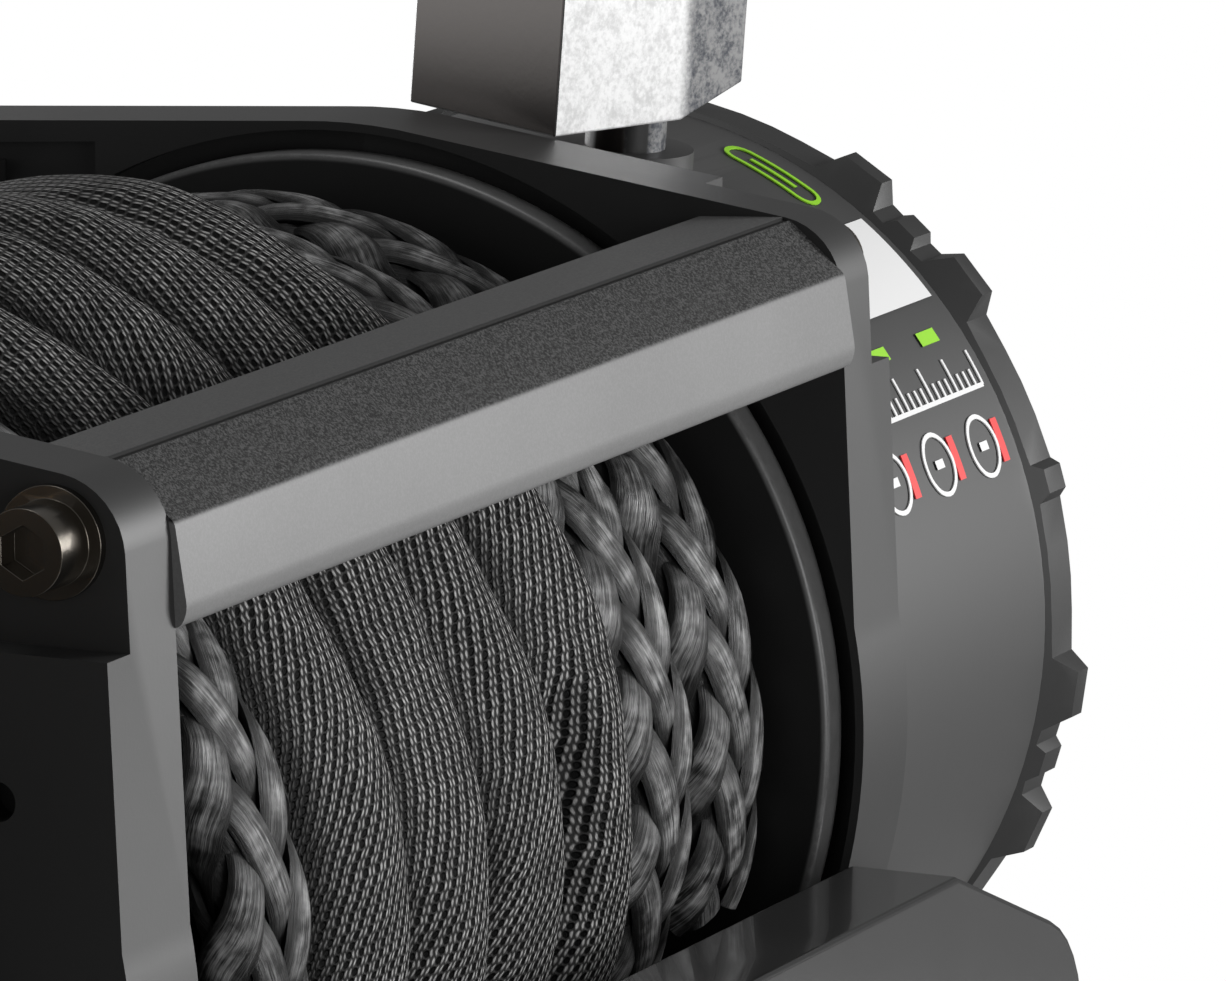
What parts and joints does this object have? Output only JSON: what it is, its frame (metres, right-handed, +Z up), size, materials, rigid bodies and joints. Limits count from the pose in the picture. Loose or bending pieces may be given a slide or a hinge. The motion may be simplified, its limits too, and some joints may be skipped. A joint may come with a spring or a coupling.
{
  "type": "electric recovery winch",
  "caption": "Drum winch with a braided fibre rope in a woven sleeve, end supports joined by tie bars, planetary gearbox with clutch lever, series motor, fairlead and mounting tray.",
  "frame": {"origin": "centre of the vehicle bolt pattern on the tray's underside", "axes": "+X along the drum axis from the motor to the gearbox, -Y towards the fairlead where the rope leaves, +Z up"},
  "size_m": [0.545, 0.2764, 0.2298],
  "materials": {
    "tray_coat": "powder coat, fine texture",
    "support_casting": "satin coated casting",
    "bar_anodise": "bead-blasted black anodise with a satin front face",
    "black_oxide_steel": "black oxide",
    "plated_steel": "zinc plated",
    "bronze": "turned",
    "fairlead_anodise": "black anodise, polished lips",
    "gearbox_coat": "fine matt coat",
    "drum_paint": "satin, worn bright at the flange rims",
    "motor_paint": "satin",
    "gear_steel": "machined",
    "copper_windings": "varnished copper",
    "carbon": "matt",
    "insulator_plastic": "moulded",
    "brake_steel": "ground",
    "lever_chrome": "tarnished plating over a cast body",
    "rope_fibre": "twelve-strand braid of coated fibre, glinting",
    "sleeve_webbing": "woven tubular webbing",
    "thimble_steel": "satin"
  },
  "bodies": {
    "winch_frame": {"mounting_tray": "tray_coat", "foot_bolts": "plated_steel", "motor_side_support": "support_casting", "gear_side_support": "support_casting", "front_tie_bar": "bar_anodise", "rear_tie_bar": "bar_anodise", "tie_bar_screws": "black_oxide_steel", "drum_bushes": "bronze", "hawse_fairlead": "fairlead_anodise", "fairlead_bolts": "black_oxide_steel", "gear_housing": "gearbox_coat", "gear_end_cover": "gearbox_coat", "cover_screws": "black_oxide_steel", "output_ring_gear": "gear_steel", "clutch_ring_gear": "gear_steel", "end_bearing": "gear_steel", "motor_flange": "motor_paint", "motor_case": "motor_paint", "pole_shoes": "gear_steel", "field_coils": "copper_windings", "motor_end_cap": "motor_paint", "brush_holder": "insulator_plastic", "brushes": "carbon", "motor_bearings": "gear_steel", "motor_bolts": "black_oxide_steel", "terminal_studs": "plated_steel", "terminal_insulators": "insulator_plastic", "rope_lead": "rope_fibre", "rope_thimble": "thimble_steel"},
    "drum": {"drum": "drum_paint", "output_carrier": "gear_steel", "rope_core": "rope_fibre", "rope_turns_left": "rope_fibre", "sleeve_turns": "sleeve_webbing", "rope_turns_right": "rope_fibre"},
    "input_line": {"armature": "copper_windings", "commutator": "copper_windings", "motor_shaft": "gear_steel", "shaft_coupling": "gear_steel", "drive_shaft": "gear_steel", "load_brake": "brake_steel", "stage1_sun": "gear_steel"},
    "first_carrier": {"stage1_carrier": "gear_steel", "stage2_sun": "gear_steel"},
    "second_carrier": {"stage2_carrier": "gear_steel", "stage3_sun": "gear_steel"},
    "stage1_planet_a": {"stage1_planet_a": "gear_steel"},
    "stage1_planet_b": {"stage1_planet_b": "gear_steel"},
    "stage1_planet_c": {"stage1_planet_c": "gear_steel"},
    "stage2_planet_a": {"stage2_planet_a": "gear_steel"},
    "stage2_planet_b": {"stage2_planet_b": "gear_steel"},
    "stage2_planet_c": {"stage2_planet_c": "gear_steel"},
    "stage3_planet_a": {"stage3_planet_a": "gear_steel"},
    "stage3_planet_b": {"stage3_planet_b": "gear_steel"},
    "stage3_planet_c": {"stage3_planet_c": "gear_steel"},
    "clutch_lever": {"clutch_lever": "lever_chrome"},
    "clutch_pin": {"clutch_pin": "plated_steel"}
  },
  "joints": [
    {"name": "drum_spin", "type": "hinge", "parent": "winch_frame", "child": "drum", "pos_m": [0, 0, 0.106], "axis": [1, 0, 0], "continuous": true},
    {"name": "input_spin", "type": "hinge", "parent": "winch_frame", "child": "input_line", "pos_m": [0, 0, 0.106], "axis": [1, 0, 0], "continuous": true},
    {"name": "first_carrier_spin", "type": "hinge", "parent": "winch_frame", "child": "first_carrier", "pos_m": [0, 0, 0.106], "axis": [1, 0, 0], "continuous": true},
    {"name": "second_carrier_spin", "type": "hinge", "parent": "winch_frame", "child": "second_carrier", "pos_m": [0, 0, 0.106], "axis": [1, 0, 0], "continuous": true},
    {"name": "stage3_planet_a_spin", "type": "hinge", "parent": "drum", "child": "stage3_planet_a", "pos_m": [0.156, 0, 0.061], "axis": [1, 0, 0], "continuous": true},
    {"name": "stage3_planet_b_spin", "type": "hinge", "parent": "drum", "child": "stage3_planet_b", "pos_m": [0.156, 0.03897, 0.1285], "axis": [1, 0, 0], "continuous": true},
    {"name": "stage3_planet_c_spin", "type": "hinge", "parent": "drum", "child": "stage3_planet_c", "pos_m": [0.156, -0.03897, 0.1285], "axis": [1, 0, 0], "continuous": true},
    {"name": "stage2_planet_a_spin", "type": "hinge", "parent": "second_carrier", "child": "stage2_planet_a", "pos_m": [0.1785, 0, 0.061], "axis": [1, 0, 0], "continuous": true},
    {"name": "stage2_planet_b_spin", "type": "hinge", "parent": "second_carrier", "child": "stage2_planet_b", "pos_m": [0.1785, 0.03897, 0.1285], "axis": [1, 0, 0], "continuous": true},
    {"name": "stage2_planet_c_spin", "type": "hinge", "parent": "second_carrier", "child": "stage2_planet_c", "pos_m": [0.1785, -0.03897, 0.1285], "axis": [1, 0, 0], "continuous": true},
    {"name": "stage1_planet_a_spin", "type": "hinge", "parent": "first_carrier", "child": "stage1_planet_a", "pos_m": [0.196, 0, 0.061], "axis": [1, 0, 0], "continuous": true},
    {"name": "stage1_planet_b_spin", "type": "hinge", "parent": "first_carrier", "child": "stage1_planet_b", "pos_m": [0.196, 0.03897, 0.1285], "axis": [1, 0, 0], "continuous": true},
    {"name": "stage1_planet_c_spin", "type": "hinge", "parent": "first_carrier", "child": "stage1_planet_c", "pos_m": [0.196, -0.03897, 0.1285], "axis": [1, 0, 0], "continuous": true},
    {"name": "clutch_lever_turn", "type": "hinge", "parent": "winch_frame", "child": "clutch_lever", "pos_m": [0.178, -0.02507, 0.20009], "axis": [0, -0.0767, 0.9971], "range_deg": [0, 90]},
    {"name": "clutch_pin_lift", "type": "slide", "parent": "winch_frame", "child": "clutch_pin", "axis": [0, -0.0767, 0.9971], "range_m": [0, 0.00605]}
  ],
  "couplings": [
    {"joint": "input_spin", "follows": "drum_spin", "ratio": 216},
    {"joint": "first_carrier_spin", "follows": "drum_spin", "ratio": 36},
    {"joint": "second_carrier_spin", "follows": "drum_spin", "ratio": 6},
    {"joint": "stage3_planet_a_spin", "follows": "drum_spin", "ratio": -2.5},
    {"joint": "stage3_planet_b_spin", "follows": "drum_spin", "ratio": -2.5},
    {"joint": "stage3_planet_c_spin", "follows": "drum_spin", "ratio": -2.5},
    {"joint": "stage2_planet_a_spin", "follows": "drum_spin", "ratio": -15},
    {"joint": "stage2_planet_b_spin", "follows": "drum_spin", "ratio": -15},
    {"joint": "stage2_planet_c_spin", "follows": "drum_spin", "ratio": -15},
    {"joint": "stage1_planet_a_spin", "follows": "drum_spin", "ratio": -90},
    {"joint": "stage1_planet_b_spin", "follows": "drum_spin", "ratio": -90},
    {"joint": "stage1_planet_c_spin", "follows": "drum_spin", "ratio": -90},
    {"joint": "clutch_pin_lift", "follows": "clutch_lever_turn", "m_per_rad": 0.0038197}
  ]
}
